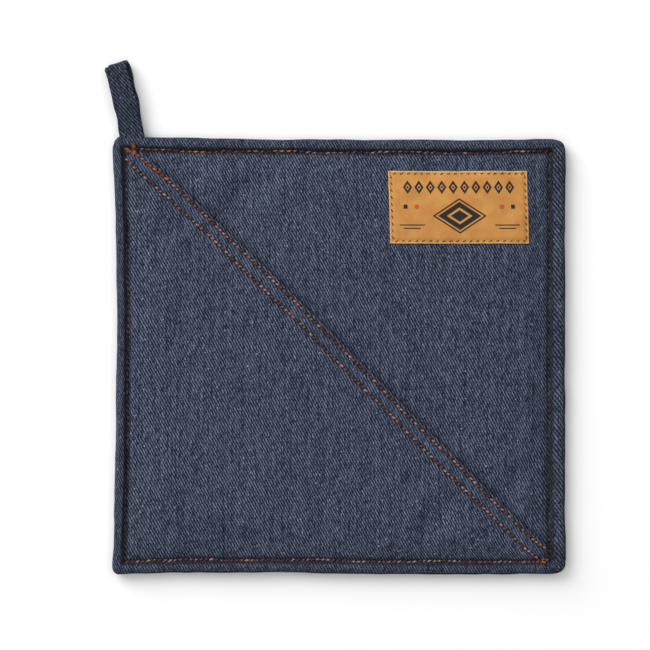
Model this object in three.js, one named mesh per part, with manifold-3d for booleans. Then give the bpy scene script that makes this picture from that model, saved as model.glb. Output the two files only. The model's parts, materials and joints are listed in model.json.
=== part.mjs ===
// Square padded denim pot holder with a hanging loop, lying on its back.
//
// The front is two denim triangles joined by a lapped diagonal seam with two rows of topstitching, the
// back is one denim square, and a heat-stopping wadding lies between them. Front and back are joined by a
// seam inside the rim, turned, and topstitched all round, which leaves a rolled rim outside a sewn crease.
//
// Units are millimetres. The origin is the centre of the back face, +Z points up through the front, and
// +Y points at the edge that carries the loop.

import * as THREE from 'three';
import { mergeVertices } from 'three/addons/utils/BufferGeometryUtils.js';
import Module from 'manifold-3d';

const wasm = await Module();
wasm.setup();

// ---- driving dimensions ----

const gap = 0.3; // clearance between pieces that touch

// pad
const padWidth = 222;
const padHeight = 214;
const padCornerRadius = 6;
const fieldThickness = 8.5; // padded middle
const rimThickness = 7; // rolled rim
const creaseThickness = 4; // where the edge topstitching pulls front and back together
const denimThickness = 1;
const edgeStitchInset = 6.5; // edge topstitching, in from the pad's edge
const creaseHalfWidth = 1; // flat floor of the crease beside the thread
const shoulderRun = 6.5; // distance over which the padding swells up from the crease
const shoulderFootHeight = 0.6; // height above the middle plane where the swelling starts
const stitchCornerRadius = 1.5;
const rimCore = 0.2; // half-width of the flat middle that the rim's round section swells from

// threads
const threadDiameter = 0.5;

// diagonal seam
const seamRowSpacing = 6;
const seamFoldMargin = 2; // folded edge beyond the outer row of stitches

// patch
const patchWidth = 69;
const patchHeight = 35;
const patchThickness = 1;
const patchCornerRadius = 0.8;
const patchFromRightEdge = 18.4;
const patchFromTopEdge = 16.5;
const patchStitchInset = 1.3;

// hanging loop
const loopLength = 37; // from the pad's edge to the tip, along the strip
const loopWidth = 11.6;
const loopLeanDeg = 13; // towards the left
const loopCentreFromLeftEdge = 9.3;
const loopStripThickness = 1.8; // denim strip folded lengthwise
const loopOpening = 4.7; // clear height between the two legs
const loopRootThickness = 2.6; // both legs, pressed together by the seam
const loopFlareStart = 4; // from the hinge line to where the legs part
const loopFlareEnd = 14; // from the hinge line to where they are fully apart
const loopFlareEase = 0.4; // share of the flare over which each end of its curve stays level
const loopTailDepth = 5; // sewn in behind the pad's edge

// bar tack over the loop's root
const barTackLength = 4;
const barTackWidth = 1.6;
const barTackThickness = 0.6;
const barTackFromTopEdge = 5.6;
const barTackFromLoopCentre = 1.8;

// fineness of the faceting
const cornerSegments = 3;
const bulgeSegments = 3;
const cordSegments = 1;
const loopCurveSegments = 8;
const knuckleSides = 16;
const weldDistance = 1e-4;

// ---- worked out from them ----

const middleZ = fieldThickness / 2;
const halfPadWidth = padWidth / 2;
const halfPadHeight = padHeight / 2;
const threadRadius = threadDiameter / 2;
const rimRadius = (edgeStitchInset - threadRadius) / 2;
const fieldInset = edgeStitchInset + creaseHalfWidth;
const shoulderRise = fieldThickness / 2 - shoulderFootHeight;
const seamHalfWidth = seamRowSpacing / 2 + seamFoldMargin;
const seamRise = gap + denimThickness; // the lapped ply's outer face above the field
const loopLean = THREE.MathUtils.degToRad(loopLeanDeg);
const loopCentreX = loopCentreFromLeftEdge - halfPadWidth;
const loopRootSpan = loopWidth / Math.cos(loopLean); // the leaning strip's width along the pad's edge
const hingeY = halfPadHeight + loopRootThickness / 2 + gap;
const barTackBottom = creaseThickness / 2 + threadDiameter + 2 * gap;
const seamAngle = -Math.atan2(halfPadHeight - edgeStitchInset, halfPadWidth - edgeStitchInset);
const farAway = 2 * (padWidth + padHeight);

// ---- solids ----

function toSolid(geometry) {
  const bare = geometry.clone();
  bare.deleteAttribute('normal');
  bare.deleteAttribute('uv');
  const merged = mergeVertices(bare, weldDistance);
  const mesh = new wasm.Mesh({
    numProp: 3,
    vertProperties: new Float32Array(merged.attributes.position.array),
    triVerts: new Uint32Array(merged.index.array),
  });
  return new wasm.Manifold(mesh);
}

function toGeometry(solid) {
  const mesh = solid.getMesh();
  const geometry = new THREE.BufferGeometry();
  geometry.setAttribute('position', new THREE.BufferAttribute(mesh.vertProperties, mesh.numProp));
  geometry.setIndex(new THREE.BufferAttribute(mesh.triVerts, 1));
  geometry.computeVertexNormals();
  return geometry;
}

function traceRoundedRectangle(path, halfWidth, halfHeight, radius) {
  const x = halfWidth - radius;
  const y = halfHeight - radius;
  path.moveTo(halfWidth, -y);
  path.lineTo(halfWidth, y);
  path.absarc(x, y, radius, 0, Math.PI / 2);
  path.lineTo(-x, halfHeight);
  path.absarc(-x, y, radius, Math.PI / 2, Math.PI);
  path.lineTo(-halfWidth, -y);
  path.absarc(-x, -y, radius, Math.PI, 1.5 * Math.PI);
  path.lineTo(x, -halfHeight);
  path.absarc(x, -y, radius, 1.5 * Math.PI, 2 * Math.PI);
  return path;
}

// A rounded rectangle that follows the pad's edge at the given inset.
function padOutline(inset, radius, shape = new THREE.Shape()) {
  return traceRoundedRectangle(shape, halfPadWidth - inset, halfPadHeight - inset, radius);
}

// An extrusion centred on the middle plane, whose rounded edge bulges out past its outline.
function bulgedPlate(shape, coreHeight, bulgeRun, bulgeRise) {
  const geometry = new THREE.ExtrudeGeometry(shape, {
    depth: coreHeight,
    curveSegments: cornerSegments,
    bevelEnabled: bulgeRun > 0,
    bevelSize: bulgeRun,
    bevelThickness: bulgeRise,
    bevelSegments: bulgeSegments,
  });
  geometry.translate(0, 0, middleZ - coreHeight / 2);
  return toSolid(geometry);
}

// A cord of eight-sided section that runs round a rounded rectangle and closes on itself.
function ringCord(halfWidth, halfHeight, cornerRadius, radius, centreZ) {
  const core = radius * Math.tan(Math.PI / 8); // half of one side of the section
  const shape = traceRoundedRectangle(
    new THREE.Shape(), halfWidth + core, halfHeight + core, cornerRadius + core);
  const hole = traceRoundedRectangle(
    new THREE.Path(), halfWidth - core, halfHeight - core, cornerRadius - core);
  shape.holes.push(hole);
  const geometry = new THREE.ExtrudeGeometry(shape, {
    depth: 2 * core,
    curveSegments: cornerSegments,
    bevelSize: radius - core,
    bevelThickness: radius - core,
    bevelSegments: cordSegments,
  });
  geometry.translate(0, 0, centreZ - core);
  return toSolid(geometry);
}

function padCord(inset, cornerRadius, radius, centreZ) {
  return ringCord(halfPadWidth - inset, halfPadHeight - inset, cornerRadius, radius, centreZ);
}

function boxBetween(lowX, highX, lowY, highY, lowZ, highZ) {
  const geometry = new THREE.BoxGeometry(highX - lowX, highY - lowY, highZ - lowZ);
  geometry.translate((lowX + highX) / 2, (lowY + highY) / 2, (lowZ + highZ) / 2);
  return toSolid(geometry);
}

// A box whose sides run along the diagonal seam, between two distances across it.
// Negative distances lie on the lower left side.
function boxAcrossSeam(low, high) {
  const geometry = new THREE.BoxGeometry(farAway, high - low, farAway);
  geometry.translate(0, (low + high) / 2, 0);
  geometry.rotateZ(seamAngle);
  return toSolid(geometry);
}

// ---- the pad's outer form, drawn in by an offset ----

function rimForm(offset) {
  const centreCornerRadius = padCornerRadius - rimRadius;
  const shape = padOutline(rimRadius - rimCore, centreCornerRadius + rimCore);
  shape.holes.push(padOutline(rimRadius + rimCore, centreCornerRadius - rimCore, new THREE.Path()));
  return bulgedPlate(
    shape, 2 * rimCore, rimRadius - rimCore - offset, rimThickness / 2 - rimCore - offset);
}

function creaseForm(offset) {
  const shape = padOutline(rimRadius, padCornerRadius - rimRadius);
  return bulgedPlate(shape, creaseThickness - 2 * offset, 0, 0);
}

function fieldForm(offset) {
  const shape = padOutline(fieldInset + shoulderRun, stitchCornerRadius);
  return bulgedPlate(shape, 2 * shoulderFootHeight, shoulderRun - offset, shoulderRise - offset);
}

// The rim holds the turned-in seam allowance as well, so its offset is given by itself.
function padForm(offset, rimOffset = offset) {
  return rimForm(rimOffset).add(creaseForm(offset)).add(fieldForm(offset));
}

function aboveMiddle(clearance) {
  return boxBetween(-farAway, farAway, -farAway, farAway, middleZ + clearance, farAway);
}

function belowMiddle(clearance) {
  return boxBetween(-farAway, farAway, -farAway, farAway, -farAway, middleZ - clearance);
}

// ---- threads ----

function edgeThread(side, clearance = 0) {
  const centreZ = middleZ + side * (creaseThickness / 2 + gap + threadRadius);
  return padCord(edgeStitchInset, stitchCornerRadius, threadRadius + clearance, centreZ);
}

function closingSeamThread(clearance = 0) {
  const inset = denimThickness;
  return padCord(inset, padCornerRadius - inset, threadRadius + clearance, middleZ);
}

// A straight row that follows the swelling field from crease to crease, at a distance across the seam and
// at a depth under the field's outer face.
function seamRow(across, depth, clearance = 0) {
  const radius = threadRadius + clearance;
  const skin = fieldForm(depth - radius).subtract(fieldForm(depth + radius));
  const endInset = fieldInset + threadRadius + gap - clearance;
  const inside = bulgedPlate(padOutline(endInset, stitchCornerRadius), farAway, 0, 0);
  return skin
    .intersect(boxAcrossSeam(across - radius, across + radius))
    .intersect(inside)
    .intersect(aboveMiddle(creaseThickness / 2 - denimThickness - clearance));
}

function seamNeedleRow(side, clearance = 0) {
  return seamRow(side * seamRowSpacing / 2, -seamRise, clearance);
}

function seamBobbinRow(side, clearance = 0) {
  return seamRow(side * seamRowSpacing / 2, denimThickness + gap + threadRadius, clearance);
}

function patchCentre() {
  return {
    x: halfPadWidth - patchFromRightEdge - patchWidth / 2,
    y: halfPadHeight - patchFromTopEdge - patchHeight / 2,
  };
}

function patchThread(centreZ, clearance = 0) {
  const centre = patchCentre();
  return ringCord(
    patchWidth / 2 - patchStitchInset,
    patchHeight / 2 - patchStitchInset,
    patchCornerRadius,
    threadRadius + clearance,
    centreZ,
  ).translate([centre.x, centre.y, 0]);
}

function patchNeedleThread(clearance = 0) {
  return patchThread(fieldThickness + gap + patchThickness, clearance);
}

function patchBobbinThread(clearance = 0) {
  return patchThread(fieldThickness - denimThickness - gap - threadRadius, clearance);
}

function loopBarTack(clearance = 0) {
  const halfWidth = barTackWidth / 2 + clearance;
  const halfLength = barTackLength / 2 + clearance;
  const shape = traceRoundedRectangle(new THREE.Shape(), halfWidth, halfLength, halfWidth);
  const geometry = new THREE.ExtrudeGeometry(shape, {
    depth: barTackThickness + 2 * clearance,
    curveSegments: cornerSegments,
    bevelEnabled: false,
  });
  geometry.translate(
    loopCentreX + barTackFromLoopCentre,
    halfPadHeight - barTackFromTopEdge,
    middleZ + barTackBottom - clearance,
  );
  return toSolid(geometry);
}

// ---- hanging loop ----

// Side view of the doubled strip: x runs along the strip from the hinge line, y is height.
function loopProfile(length) {
  const rootHalf = loopRootThickness / 2;
  const outerHalf = loopOpening / 2 + loopStripThickness;
  const innerHalf = loopOpening / 2;
  const tipX = length - outerHalf;
  const rootX = -loopWidth / 2;
  const outerPull = loopFlareEnd * loopFlareEase;
  const innerPull = (loopFlareEnd - loopFlareStart) * loopFlareEase;

  const shape = new THREE.Shape();
  shape.moveTo(rootX, -rootHalf);
  shape.lineTo(0, -rootHalf);
  shape.bezierCurveTo(outerPull, -rootHalf, loopFlareEnd - outerPull, -outerHalf, loopFlareEnd, -outerHalf);
  shape.lineTo(tipX, -outerHalf);
  shape.absarc(tipX, 0, outerHalf, -Math.PI / 2, Math.PI / 2);
  shape.lineTo(loopFlareEnd, outerHalf);
  shape.bezierCurveTo(loopFlareEnd - outerPull, outerHalf, outerPull, rootHalf, 0, rootHalf);
  shape.lineTo(rootX, rootHalf);

  const hole = new THREE.Path();
  hole.moveTo(loopFlareStart, 0);
  hole.bezierCurveTo(
    loopFlareStart + innerPull, 0, loopFlareEnd - innerPull, -innerHalf, loopFlareEnd, -innerHalf);
  hole.lineTo(tipX, -innerHalf);
  hole.absarc(tipX, 0, innerHalf, -Math.PI / 2, Math.PI / 2);
  hole.lineTo(loopFlareEnd, innerHalf);
  hole.bezierCurveTo(
    loopFlareEnd - innerPull, innerHalf, loopFlareStart + innerPull, 0, loopFlareStart, 0);
  shape.holes.push(hole);
  return shape;
}

// Turns an extrusion so that its profile stands in the YZ plane and its depth runs along X.
function standOnEdge(geometry, depth) {
  geometry.translate(0, 0, -depth / 2);
  const turn = new THREE.Matrix4().makeBasis(
    new THREE.Vector3(0, 1, 0),
    new THREE.Vector3(0, 0, 1),
    new THREE.Vector3(1, 0, 0),
  );
  geometry.applyMatrix4(turn);
  return geometry;
}

function hangingLoop() {
  const hingeToTip = loopLength - (hingeY - halfPadHeight) / Math.cos(loopLean);
  const strip = standOnEdge(
    new THREE.ExtrudeGeometry(loopProfile(hingeToTip), {
      depth: loopWidth,
      curveSegments: loopCurveSegments,
      bevelEnabled: false,
    }),
    loopWidth,
  );
  strip.rotateZ(loopLean);
  strip.translate(loopCentreX, hingeY, middleZ);

  const knuckle = new THREE.CylinderGeometry(
    loopRootThickness / 2, loopRootThickness / 2, loopRootSpan, knuckleSides);
  knuckle.rotateZ(Math.PI / 2);
  knuckle.translate(loopCentreX, hingeY, middleZ);

  const pastHinge = boxBetween(-farAway, farAway, hingeY, farAway, -farAway, farAway);
  return toSolid(strip).intersect(pastHinge).add(toSolid(knuckle));
}

function loopTail(clearance = 0) {
  const halfSpan = loopRootSpan / 2 + clearance;
  const halfThickness = loopRootThickness / 2 + clearance;
  return boxBetween(
    loopCentreX - halfSpan,
    loopCentreX + halfSpan,
    halfPadHeight - loopTailDepth - clearance,
    halfPadHeight + clearance,
    middleZ - halfThickness,
    middleZ + halfThickness,
  );
}

// ---- panels, wadding and patch ----

function padInside() {
  return padForm(denimThickness, 2 * denimThickness);
}

function backPanel() {
  return padForm(0)
    .intersect(belowMiddle(gap / 2))
    .subtract(padInside())
    .subtract(closingSeamThread(gap))
    .subtract(loopTail(gap));
}

function frontPanel(outerForm) {
  return outerForm
    .intersect(aboveMiddle(gap / 2))
    .subtract(padInside())
    .subtract(closingSeamThread(gap))
    .subtract(loopTail(gap))
    .subtract(loopBarTack(gap));
}

function frontPanelUpper() {
  return frontPanel(padForm(0).intersect(boxAcrossSeam(gap / 2, farAway)));
}

// The lower triangle's edge is folded under and lapped over the upper triangle, inside the edge crease.
function frontPanelLower() {
  const insideCrease = bulgedPlate(padOutline(fieldInset, stitchCornerRadius), farAway, 0, 0);
  const lap = fieldForm(-seamRise)
    .intersect(insideCrease)
    .intersect(boxAcrossSeam(-seamHalfWidth, seamHalfWidth));
  const underLap = padForm(-gap).intersect(boxAcrossSeam(-gap / 2, farAway));
  const outerForm = padForm(0)
    .intersect(boxAcrossSeam(-farAway, -gap / 2))
    .add(lap)
    .subtract(underLap);
  return frontPanel(outerForm)
    .subtract(seamNeedleRow(1, gap))
    .subtract(seamNeedleRow(-1, gap));
}

function wadding() {
  return padForm(denimThickness + gap, 2 * denimThickness + gap)
    .subtract(loopTail(gap))
    .subtract(seamBobbinRow(1, gap))
    .subtract(seamBobbinRow(-1, gap))
    .subtract(patchBobbinThread(gap));
}

function leatherPatch() {
  const centre = patchCentre();
  const shape = traceRoundedRectangle(
    new THREE.Shape(), patchWidth / 2, patchHeight / 2, patchCornerRadius);
  const geometry = new THREE.ExtrudeGeometry(shape, {
    depth: patchThickness,
    curveSegments: cornerSegments,
    bevelEnabled: false,
  });
  geometry.translate(centre.x, centre.y, fieldThickness + gap);
  return toSolid(geometry).subtract(patchNeedleThread(gap));
}

// ---- materials ----

function cloth(color) {
  return new THREE.MeshStandardMaterial({ color, roughness: 0.9, metalness: 0 });
}

const denim = '#3e4556';
const darkDenim = '#3b414d';
const cottonWhite = '#e4e0d6';
const copperThread = '#a5562f';
const paleThread = '#a9a294';
const tanLeather = '#c9894a';

// ---- assembly ----

const part = new THREE.Group();

function addPiece(parent, name, solid, material) {
  const mesh = new THREE.Mesh(toGeometry(solid), material);
  mesh.name = name;
  parent.add(mesh);
}

const pad = new THREE.Group();
part.add(pad);
addPiece(pad, 'back_panel', backPanel(), cloth(denim));
addPiece(pad, 'front_panel_upper', frontPanelUpper(), cloth(denim));
addPiece(pad, 'front_panel_lower', frontPanelLower(), cloth(denim));
addPiece(pad, 'wadding', wadding(), cloth(cottonWhite));
addPiece(pad, 'leather_patch', leatherPatch(), cloth(tanLeather));
addPiece(pad, 'loop_tail', loopTail().subtract(closingSeamThread(gap)), cloth(darkDenim));

const threads = new THREE.Group();
pad.add(threads);
addPiece(threads, 'edge_needle_thread', edgeThread(1), cloth(copperThread));
addPiece(threads, 'edge_bobbin_thread', edgeThread(-1), cloth(copperThread));
addPiece(threads, 'closing_seam_thread', closingSeamThread(), cloth(paleThread));
addPiece(threads, 'seam_needle_thread_upper', seamNeedleRow(1), cloth(copperThread));
addPiece(threads, 'seam_needle_thread_lower', seamNeedleRow(-1), cloth(copperThread));
addPiece(threads, 'seam_bobbin_thread_upper', seamBobbinRow(1), cloth(paleThread));
addPiece(threads, 'seam_bobbin_thread_lower', seamBobbinRow(-1), cloth(paleThread));
addPiece(threads, 'patch_needle_thread', patchNeedleThread(), cloth(tanLeather));
addPiece(threads, 'patch_bobbin_thread', patchBobbinThread(), cloth(paleThread));
addPiece(threads, 'loop_bar_tack', loopBarTack(), cloth(copperThread));

const loop = new THREE.Group();
part.add(loop);
addPiece(loop, 'hanging_loop', hangingLoop(), cloth(darkDenim));

export default part;
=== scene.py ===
"""The looks of a square padded denim pot holder with a hanging loop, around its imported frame.

Lengths are in millimetres until make_piece turns them into metres. "Cloth" coordinates are places on the
flat, unsewn denim, with the warp along Y: lay_cloth carries them over the padded field, down into the sewn
crease and round the rolled rim, and the weave follows them as a UV map.
"""

import json
import math

import bmesh
import bpy
import numpy as np
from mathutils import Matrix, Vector


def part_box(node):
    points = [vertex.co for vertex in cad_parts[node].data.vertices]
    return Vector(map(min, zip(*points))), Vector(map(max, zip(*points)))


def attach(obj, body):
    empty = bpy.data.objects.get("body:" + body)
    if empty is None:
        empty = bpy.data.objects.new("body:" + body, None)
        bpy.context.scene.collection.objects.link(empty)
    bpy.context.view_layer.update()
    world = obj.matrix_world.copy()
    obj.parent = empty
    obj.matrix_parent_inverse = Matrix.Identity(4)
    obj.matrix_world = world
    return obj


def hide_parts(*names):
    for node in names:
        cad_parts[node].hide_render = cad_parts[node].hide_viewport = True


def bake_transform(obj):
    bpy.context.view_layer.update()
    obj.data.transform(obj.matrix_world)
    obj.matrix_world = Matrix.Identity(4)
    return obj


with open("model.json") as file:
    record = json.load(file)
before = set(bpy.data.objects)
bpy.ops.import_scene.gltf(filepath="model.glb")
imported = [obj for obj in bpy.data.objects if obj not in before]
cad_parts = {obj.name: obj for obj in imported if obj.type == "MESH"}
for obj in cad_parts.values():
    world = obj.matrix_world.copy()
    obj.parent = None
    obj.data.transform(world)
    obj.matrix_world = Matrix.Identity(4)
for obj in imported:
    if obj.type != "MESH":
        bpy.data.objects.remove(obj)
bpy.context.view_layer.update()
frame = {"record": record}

MM = 0.001


# ---- sizes taken from the frame ----

def node_box(node):
    low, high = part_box(node)
    return np.array(low) / MM, np.array(high) / MM


def joint_place(name):
    joint = next(j for j in frame["record"]["behaviour"]["joints"] if j["name"] == name)
    return np.array(joint["pos_m"]) / MM


pad_half = node_box("back_panel")[1][:2]
edge_thread_low, edge_thread_high = node_box("edge_needle_thread")
thread_radius = (edge_thread_high[2] - edge_thread_low[2]) / 2
stitch_half = edge_thread_high[:2] - thread_radius  # the rectangle of the edge topstitching
middle_z = (edge_thread_high[2] + node_box("edge_bobbin_thread")[0][2]) / 2
field_rise = node_box("front_panel_upper")[1][2] - middle_z
patch_low, patch_high = node_box("leather_patch")
patch_centre = (patch_high + patch_low)[:2] / 2
patch_half = (patch_high - patch_low)[:2] / 2
loop_tip_y = node_box("hanging_loop")[1][1]
loop_hinge = joint_place("loop_flex")
tack_low, tack_high = node_box("loop_bar_tack")
edge_inset = pad_half[0] - stitch_half[0]


# ---- sizes of the looks ----

crease_rise = 1.15  # front's face above the middle plane at the edge topstitching
shoulder_run = 3.6  # the field's swelling reaches two thirds of its height over this distance
bead_outer = 3.15  # from the crest of the rim's bead to the pad's edge
bead_centre = edge_inset - bead_outer
bead_rise = 3.5
rim_seam_radius = 0.35  # the rim's cloth turns in to the closing seam with this radius
rim_seam_height = 0.45
turned_in = 1.2  # seam allowance modelled behind the closing seam
panel_thickness = 0.6
plain_corner = 2.5  # roundness of the pad's corners: 2 is a quarter circle, and more is squarer
loop_corner = 1.75
lower_left_corner = 3.4

seam_row_offset = 3.0  # the two rows of topstitching lie at each side of the diagonal seam's middle
fold_across = 5.0  # folded edge of the lower panel, across the seam
ridge_across = -3.7  # where the seam's inner plies end under the lower panel
lap_rise = 1.2
fold_under = 4.0  # cloth turned under behind the folded edge
open_fold_radius = 0.65  # the folded edge's radius over the field
caught_fold_radius = 0.25  # and where the edge crease catches it
upper_underlap = -2.4  # how far the upper panel reaches under the lower one
beyond_pad = 999

edge_pitch_top = 3.2
edge_pitch_side = 3.0
edge_pitch_bottom = 2.5
seam_pitch = 2.4
patch_pitch = 3.3
patch_stitch_inset = 1.3
hole_depth = 0.4
hole_radius = 0.5
row_groove = 0.7
edge_groove = 0.4
row_groove_radius = 1.0
stitch_slant = 0.28  # a lockstitch lies a little askew, and each end is about this far from the row's line
needle_thread_radius = 0.58
patch_thread_radius = 0.25
bobbin_thread_radius = 0.18
thread_plies = 3
ply_turn = 5.0  # how far the plies wind about each other over one stitch, in radians
ply_depth = 0.16  # share of the thread's radius
stitch_steps = 12  # rings of points along each stitch
stitch_sides = 10

warp_pitch = 0.357
weft_pitch = 0.66
twill_span = 4  # the weft shows over one warp end in four
fleck_width = 0.38  # pale flecks of undyed fibre
fleck_length = 0.6
fleck_share = 0.0022

swell_limit = 2.2
swell_frames = 20
swell_pressure = 4.0

patch_lean = 1.1  # the patch's left and right sides lean this far over its height
patch_stretch = 1.03  # the board was cut a little taller than its drawing
patch_rise = 0.15  # makes up for the pad's sides being drawn in
board_top = 0.95  # above the field that the patch lies on
board_gap = 0.12  # between the board and the cloth
board_rounding = 0.25
board_dimple = 0.55  # share of a stitch's pull that dents the board
bobbin_depth = 2.2  # of the front's lower threads under its face
closing_inset = 1.6  # from the pad's edge to the closing seam
closing_short = 2.2  # the closing seam leaves out each corner by this much

strip_cloth = 0.6  # thickness of the loop's denim
strip_thickness = 3 * strip_cloth
strip_width = 10.6
top_ply_edge = 2.1  # the strip's upper ply ends this far from its left edge
inner_ply_edge = 6.2
loop_gap = 4.7
loop_flare = (3, 15)  # distances from the hinge over which the two legs part
loop_root_depth = 5  # sewn in behind the pad's edge
loop_tip_round = 4.5  # the legs end this far short of the tip, and the turn fills the rest
loop_offset = -1.3  # of the upper leg's middle at the hinge line
loop_lean = -0.185  # how far it goes to the left for each step outward
loop_curl = -0.0018  # and how fast that lean grows


# ---- smooth random fields ----

def spline_weights(t):
    """Cubic spline weights of the four lattice values around a place t of the way between the middle two."""
    return (
        (1 - t) ** 3 / 6,
        (3 * t ** 3 - 6 * t ** 2 + 4) / 6,
        (1 + 3 * t + 3 * t ** 2 - 3 * t ** 3) / 6,
        t ** 3 / 6,
    )


def sample_lattice(values, across, along):
    """A smooth surface through a lattice of values, at places counted in lattice steps."""
    i = np.floor(across).astype(int)
    j = np.floor(along).astype(int)
    result = np.zeros(len(across))
    for a, weight_across in enumerate(spline_weights(across - i)):
        row = np.clip(i + a - 1, 0, values.shape[0] - 1)
        for b, weight_along in enumerate(spline_weights(along - j)):
            column = np.clip(j + b - 1, 0, values.shape[1] - 1)
            result += weight_across * weight_along * values[row, column]
    return result


def bumps(place, rise, size, seed):
    """Heights from about -rise to rise that wander over the given size."""
    lattice_margin = 4
    count = np.ceil(2 * 1.2 * pad_half / size).astype(int) + 2 * lattice_margin
    values = np.random.default_rng(seed).uniform(-1.6, 1.6, count)
    steps = place / size + count / 2
    return rise * sample_lattice(values, steps[:, 0], steps[:, 1])


def ease(value, low, high):
    """Goes smoothly from 0 at low to 1 at high."""
    t = np.clip((value - low) / (high - low), 0, 1)
    return t * t * (3 - 2 * t)


def dip(distance, radius):
    return np.exp(-(distance / radius) ** 2)


def unit(vectors):
    return vectors / np.linalg.norm(vectors, axis=-1, keepdims=True)


def run_along(points):
    """Distance along a line of points, at each of them."""
    return np.concatenate([[0], np.cumsum(np.linalg.norm(np.diff(points, axis=0), axis=1))])


# ---- rows of stitches ----

class Row:
    """A straight row of stitches between two places in the plane, with its needle holes."""

    def __init__(self, start, end, pitch, seed, wander=0.15, groove=row_groove):
        self.start = np.array(start, float)
        self.length = float(np.linalg.norm(np.array(end) - self.start))
        self.along = (np.array(end) - self.start) / self.length
        self.across = np.array([-self.along[1], self.along[0]])
        self.random = np.random.default_rng(seed)
        self.wander = wander
        self.groove = groove
        self.waves = self.random.uniform(0, 2 * math.pi, 3)
        count = round(self.length / pitch)
        step = self.length / count
        jitter = self.random.uniform(-0.1, 0.1, count + 1) * step
        self.holes = np.arange(count + 1) * step + jitter

    def drift(self, t):
        """How far the row strays sideways at distance t along it."""
        wavelengths = (63, 29, 13)
        shares = (0.6, 0.3, 0.25)
        return self.wander * sum(
            share * np.sin(2 * math.pi * t / wave + phase)
            for wave, share, phase in zip(wavelengths, shares, self.waves))

    def place(self, t, sideways):
        offset = self.drift(t) + sideways
        return self.start + np.outer(t, self.along) + np.outer(offset, self.across)

    def sink(self, place):
        """How deep the thread pulls the cloth in at each place."""
        t = (place - self.start) @ self.along
        sideways = (place - self.start) @ self.across - self.drift(t)
        after = np.clip(np.searchsorted(self.holes, t), 1, len(self.holes) - 1)
        to_hole = np.minimum(np.abs(t - self.holes[after - 1]), np.abs(t - self.holes[after]))
        beyond = np.maximum(np.maximum(-t, t - self.length), 0)
        groove = self.groove * dip(np.hypot(sideways, beyond), row_groove_radius)
        return groove + hole_depth * dip(np.hypot(to_hole, sideways), hole_radius)


def all_sink(rows, place):
    return sum(row.sink(place) for row in rows)


corner_signs = np.array([(-1, 1), (1, 1), (1, -1), (-1, -1)])  # clockwise from the upper left
top_left, top_right, bottom_right, bottom_left = stitch_half * corner_signs
edge_rows = {
    "top": Row(top_left, top_right, edge_pitch_top, 11, 0.45, edge_groove),
    "right": Row(top_right, bottom_right, edge_pitch_side, 12, 0.3, edge_groove),
    "bottom": Row(bottom_right, bottom_left, edge_pitch_bottom, 13, 0.35, edge_groove),
    "left": Row(bottom_left, top_left, edge_pitch_side, 14, 0.3, edge_groove),
}

seam_length = float(np.linalg.norm(bottom_right - top_left))
seam_along = (bottom_right - top_left) / seam_length
seam_across = np.array([-seam_along[1], seam_along[0]])  # towards the upper right


def seam_row(side, seed):
    """A row at one side of the diagonal seam, from the edge topstitching at one corner to the other."""
    middle = side * seam_row_offset * seam_across
    reach = seam_length / 2 - seam_row_offset
    return Row(middle - reach * seam_along, middle + reach * seam_along, seam_pitch, seed, 0.3)


def ring_rows(corners, pitch, seed, wander, short=0.0):
    """Four rows from corner to corner, each begun and ended short of it."""
    rows = []
    for k, (start, end) in enumerate(zip(corners, np.roll(corners, -1, axis=0))):
        along = unit(end - start)
        rows.append(Row(start + along * short, end - along * short, pitch, seed + k, wander))
    return rows


seam_rows = {"upper": seam_row(1, 21), "lower": seam_row(-1, 22)}


# ---- the pad's outer face ----

def inset_of(place):
    """Distance in from the edge topstitching, below 0 outside it."""
    return np.min(stitch_half - np.abs(place), axis=1)


# half width of the bead inside its crest, which makes it meet the crease
bead_inner = bead_centre / math.sqrt(1 - (crease_rise / bead_rise) ** 2)


def rim_profile():
    """Outward offset and height of the rim's face, from the crease over the bead to the turned-in edge."""
    start = math.pi - math.acos(bead_centre / bead_inner)
    end = math.asin(rim_seam_height / bead_rise)
    points = []
    for angle in np.linspace(start, end, 60):
        half_width = bead_inner if math.cos(angle) < 0 else bead_outer
        points.append((bead_centre + half_width * math.cos(angle), bead_rise * math.sin(angle)))
    turn_offset = points[-1][0] - rim_seam_radius
    for angle in np.linspace(0.2, math.pi / 2, 8):
        points.append((turn_offset + rim_seam_radius * math.cos(angle),
                       rim_seam_height - rim_seam_radius * math.sin(angle)))
    points.append((turn_offset - turned_in, rim_seam_height - rim_seam_radius))
    return np.array(points)


rim_points = rim_profile()
rim_run = run_along(rim_points)
rim_slope = np.gradient(rim_points, rim_run, axis=0)
rim_cloth = rim_run[-1]  # cloth from the edge topstitching to the turned-in edge


def flare(along, reach, sharpness):
    """How far a side stands out towards its end at 1, falling off towards its end at -1."""
    return reach * ((1 + along) / 2) ** sharpness


def warp_plane(place):
    """Draws the pad's outline in between its corners, as its sides were sewn."""
    x, y = place.T
    v = np.clip(x / pad_half[0], -1, 1)
    w = np.clip(y / pad_half[1], -1, 1)
    left = -0.95 + flare(w, 2.9, 5.5) + flare(-w, 2.7, 4)
    right = -0.85 + 0.15 * w + flare(-w, 0.6, 10)
    top = -0.65 - 0.45 * v + flare(-v, 1.8, 7) + flare(v, 1.2, 12)
    bottom = -0.05 + flare(-v, 0.7, 6) + 0.55 * np.sin(math.pi * v)
    outward_x = np.where(v < 0, -left, right) * np.abs(v) ** 3
    outward_y = np.where(w < 0, -bottom, top) * np.abs(w) ** 3
    return place + np.column_stack([outward_x, outward_y]) + seam_bow(place) + crease_shift(place)


def crease_shift(place):
    """The edge topstitching was sewn a little further in at the right, and further out at the left."""
    reach = 11
    right = -1.6 * dip(place[:, 0] - stitch_half[0], reach)
    left = -0.7 * dip(place[:, 0] + stitch_half[0], reach)
    kept = 1 - ease(np.abs(place[:, 0]), stitch_half[0] + 1, pad_half[0] - 0.5)
    return np.outer((right + left) * kept, (1, 0))


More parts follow.
